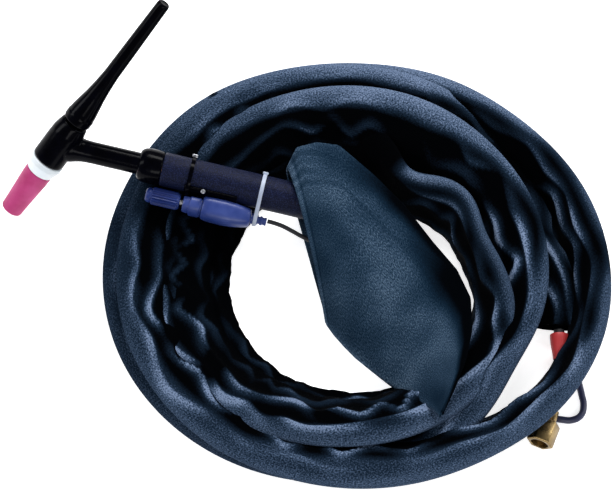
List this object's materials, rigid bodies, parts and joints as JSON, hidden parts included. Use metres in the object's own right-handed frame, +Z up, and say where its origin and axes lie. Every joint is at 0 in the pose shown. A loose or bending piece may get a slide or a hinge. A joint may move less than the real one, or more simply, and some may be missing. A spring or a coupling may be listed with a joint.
{
  "type": "tig torch",
  "caption": "TIG welding torch with a long back cap, a ribbed fingertip amperage roller on its handle, and its lead coiled in a dark cloth cover.",
  "frame": {"origin": "on the table, below the middle of the torch's own box, where the lip of the cup also touches down; the coil lies on the same plane", "axes": "+Z up from the table, +X roughly from the cup towards the rear of the handle and across the coil, +Y away from the handle's control side"},
  "size_m": [0.5632, 0.4282, 0.1938],
  "materials": {
    "black_moulding": "gloss",
    "handle_grip": "fine texture",
    "blue_plastic": "satin",
    "white_insulator": "satin",
    "pink_alumina": "unglazed",
    "brass": "machined",
    "copper": "machined",
    "steel": "brushed",
    "black_rubber": "matte",
    "navy_rubber": "satin",
    "red_rubber": "satin",
    "white_strap": "satin",
    "cover_cloth": "woven"
  },
  "bodies": {
    "torch": {"torch_head": "black_moulding", "head_insert": "brass", "neck_tube": "copper", "collet_body": "copper", "collet": "copper", "handle_collar": "black_moulding", "handle_tube": "handle_grip", "power_fitting": "brass", "power_cable_front": "black_rubber", "nose_collar": "blue_plastic", "control_case_near": "blue_plastic", "control_case_far": "blue_plastic", "case_screw": "steel", "potentiometer": "black_rubber", "control_saddle": "black_moulding", "saddle_screw": "steel", "control_gland": "blue_plastic", "control_cable": "black_rubber", "front_strap": "black_moulding", "front_strap_lock": "steel", "rear_strap": "white_strap", "rear_strap_lock": "white_strap", "cover_mouth": "cover_cloth", "cover_coil": "cover_cloth", "hose_tail": "black_rubber", "red_sleeve": "red_rubber", "hose_ferrule": "brass", "hose_nipple": "brass", "control_lead": "navy_rubber", "control_plug": "black_moulding", "control_plug_ring": "steel"},
    "cup_carrier": {"cup_insulator": "white_insulator"},
    "cup_body": {"cup": "pink_alumina"},
    "cap_carrier": {"cap_seal": "black_rubber"},
    "cap_body": {"back_cap": "black_moulding", "cap_ferrule": "brass"},
    "electrode": {"tungsten": "steel"},
    "roller_body": {"roller": "blue_plastic", "roller_shaft": "steel"},
    "nut_body": {"hose_nut": "brass"}
  },
  "joints": [
    {"name": "cup_travel", "type": "slide", "parent": "torch", "child": "cup_carrier", "axis": [-0.5547, -0.4556, -0.6962], "range_m": [0, 0.00481]},
    {"name": "cup_screw", "type": "hinge", "parent": "cup_carrier", "child": "cup_body", "pos_m": [-0.10423, -0.0077, 0.0648], "axis": [-0.5547, -0.4556, -0.6962], "range_deg": [0, 1080]},
    {"name": "cap_travel", "type": "slide", "parent": "torch", "child": "cap_carrier", "axis": [0.5547, 0.4556, 0.6962], "range_m": [0, 0.00376]},
    {"name": "cap_screw", "type": "hinge", "parent": "cap_carrier", "child": "cap_body", "pos_m": [-0.10423, -0.0077, 0.0648], "axis": [0.5547, 0.4556, 0.6962], "range_deg": [0, 1080]},
    {"name": "electrode_slide", "type": "slide", "parent": "torch", "child": "electrode", "axis": [-0.5547, -0.4556, -0.6962], "range_m": [0, 0.02]},
    {"name": "roller_turn", "type": "hinge", "parent": "torch", "child": "roller_body", "pos_m": [-0.00791, -0.05376, 0.04701], "axis": [0.974, -0.208, -0.09], "range_deg": [0, 270]},
    {"name": "nut_swivel", "type": "hinge", "parent": "torch", "child": "nut_body", "pos_m": [0.34262, -0.26974, 0.01357], "axis": [-0.3492, -0.9368, -0.0213], "continuous": true}
  ],
  "couplings": [
    {"joint": "cup_travel", "follows": "cup_screw", "m_per_rad": 0.00025465},
    {"joint": "cap_travel", "follows": "cap_screw", "m_per_rad": 0.00019894}
  ]
}
